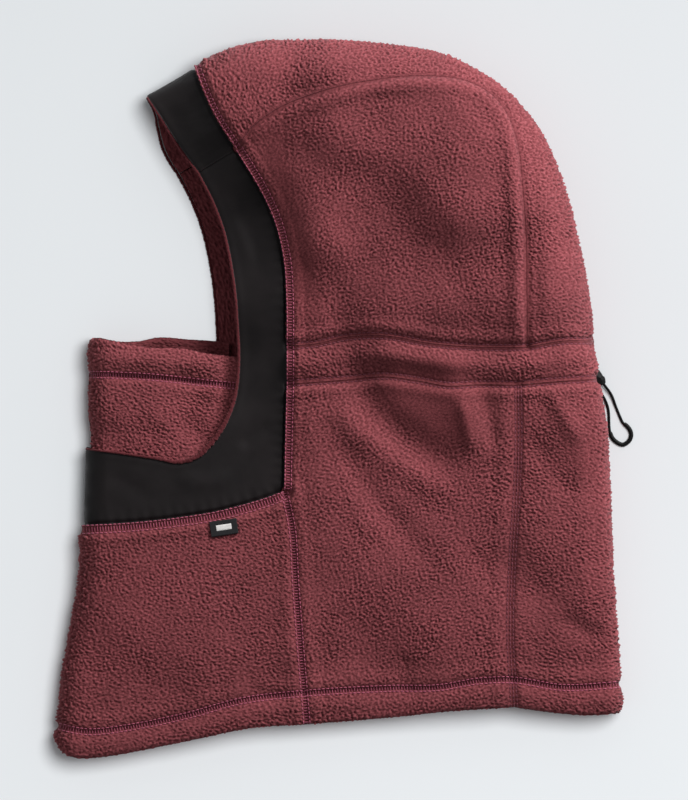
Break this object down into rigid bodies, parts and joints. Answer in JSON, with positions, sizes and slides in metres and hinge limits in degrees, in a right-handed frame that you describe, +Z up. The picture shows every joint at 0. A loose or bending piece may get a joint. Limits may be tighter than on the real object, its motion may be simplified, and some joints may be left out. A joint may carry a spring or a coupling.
{
  "type": "balaclava",
  "caption": "Hooded fleece balaclava lying on its side, with a woven face trim, pull-down mask, drawcord channel, cord lock and turned hem.",
  "frame": {"origin": "middle of the footprint, on the surface that the balaclava lies on", "axes": "+Z up through the flattened garment, from its right side to its left side; +Y from the hem towards the crown; -X towards the face opening"},
  "size_m": [0.3473, 0.4303, 0.0596],
  "materials": {
    "fleece": "dusty red high-pile fleece, matte",
    "trim": "black plain-woven nylon, slight satin",
    "thread": "plum polyester thread, soft sheen",
    "cord": "black elastic cord, braided",
    "hardware": "black moulded plastic, fine matte",
    "spring": "plain spring wire",
    "label": "black woven label tape with a plain pale bar"
  },
  "bodies": {
    "balaclava": {"crown_panel": "fleece", "hood_side_left": "fleece", "hood_side_right": "fleece", "neck_side_left": "fleece", "neck_side_right": "fleece", "front_neck_panel": "fleece", "back_neck_panel": "fleece", "forehead_facing": "fleece", "cheek_and_chin_facing": "fleece", "hem_turn_up": "fleece", "mask_panel": "fleece", "cord_channel": "fleece", "channel_backing": "fleece", "forehead_trim": "trim", "cheek_and_chin_trim": "trim", "hem_coverstitch": "thread", "crown_seam_left": "thread", "crown_seam_right": "thread", "front_seam_left": "thread", "front_seam_right": "thread", "back_seam_left": "thread", "back_seam_right": "thread", "forehead_seam": "thread", "chin_seam": "thread", "channel_top_seam": "thread", "channel_bottom_seam": "thread", "drawcord_left": "cord", "drawcord_right": "cord", "drawcord_loop": "cord", "cord_eyelet": "hardware", "loop_sleeve": "hardware"},
    "mask_edge": {"mask_edge": "fleece", "mask_coverstitch": "thread"},
    "cord_lock": {"cord_lock_barrel": "hardware", "cord_lock_spring": "spring"},
    "lock_button": {"cord_lock_plunger": "hardware"},
    "label": {"label_tab": "label"}
  },
  "joints": [
    {"name": "mask_pull_down", "type": "slide", "parent": "balaclava", "child": "mask_edge", "axis": [0, -1, 0], "range_m": [0, 0.038], "deforming": ["mask_panel"]},
    {"name": "lock_slide", "type": "slide", "parent": "balaclava", "child": "cord_lock", "axis": [0.4115, -0.9114, 0], "range_m": [0, 0.012], "deforming": ["drawcord_loop"]},
    {"name": "lock_press", "type": "slide", "parent": "cord_lock", "child": "lock_button", "axis": [0, 0, -1], "range_m": [0, 0.001], "stiffness_N_per_m": 200, "springref_m": -0.001, "deforming": ["cord_lock_spring"]},
    {"name": "label_flap", "type": "hinge", "parent": "balaclava", "child": "label", "pos_m": [-0.0774, -0.0732, 0.0298], "axis": [-0.9893, -0.1461, 0], "range_deg": [0, 110]}
  ]
}
